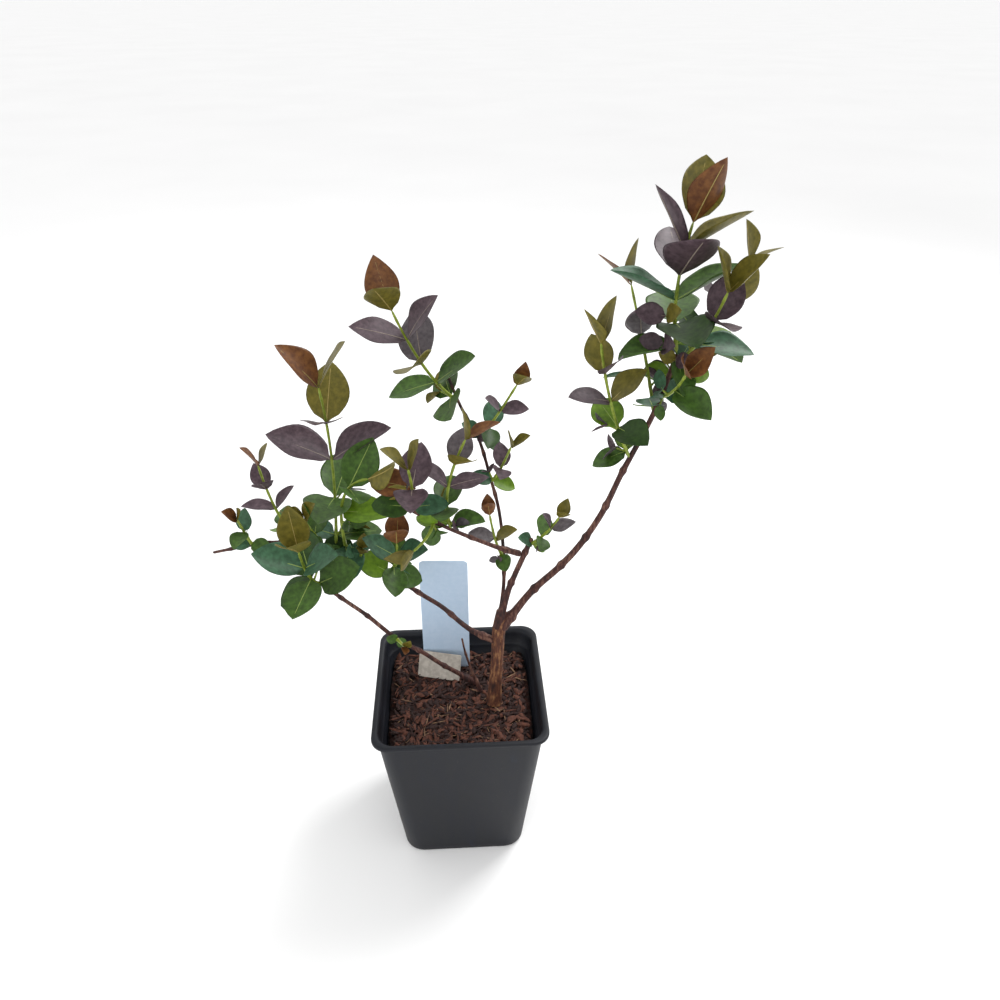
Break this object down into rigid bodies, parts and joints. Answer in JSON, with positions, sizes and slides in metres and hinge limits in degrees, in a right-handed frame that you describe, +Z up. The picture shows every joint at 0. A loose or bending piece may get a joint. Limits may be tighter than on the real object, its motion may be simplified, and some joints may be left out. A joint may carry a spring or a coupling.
{
  "type": "young honeyberry bush in a square nursery pot",
  "caption": "Young honeyberry bush with opposite oval leaves on thin woody stems, in a small square tapered black nursery pot of bark compost with a blank stick-in label.",
  "frame": {"origin": "centre of the pot's flat underside", "axes": "+Z up, the pot's front side faces -Y, +X to the right of the front"},
  "size_m": [0.2794, 0.1161, 0.3633],
  "materials": {
    "pot": "satin",
    "compost": "matte",
    "label": "satin",
    "card": "matte",
    "bark": "matte",
    "foliage": "satin"
  },
  "bodies": {
    "root": {"bough_ground_left": "bark", "bough_low_left": "bark", "bough_mid_left": "bark", "bough_right": "bark", "compost": "compost", "label_card": "card", "plant_label": "label", "pot": "pot", "shoot_back_high": "foliage", "shoot_back_low": "foliage", "shoot_back_mid": "foliage", "shoot_centre": "foliage", "shoot_cluster": "foliage", "shoot_far_left": "foliage", "shoot_far_tip": "foliage", "shoot_ground_small": "foliage", "shoot_leader": "foliage", "shoot_left_front": "foliage", "shoot_left_high": "foliage", "shoot_left_inner": "foliage", "shoot_low_left": "foliage", "shoot_low_small": "foliage", "shoot_mid_tip": "foliage", "shoot_mid_under": "foliage", "shoot_right_back": "foliage", "shoot_right_front": "foliage", "shoot_right_heart": "foliage", "shoot_right_inner": "foliage", "shoot_right_low": "foliage", "shoot_spur": "foliage", "shoot_top_left": "foliage", "stem_back": "bark", "stem_centre": "bark", "trunk": "bark", "twig_dead": "bark"}
  },
  "joints": []
}
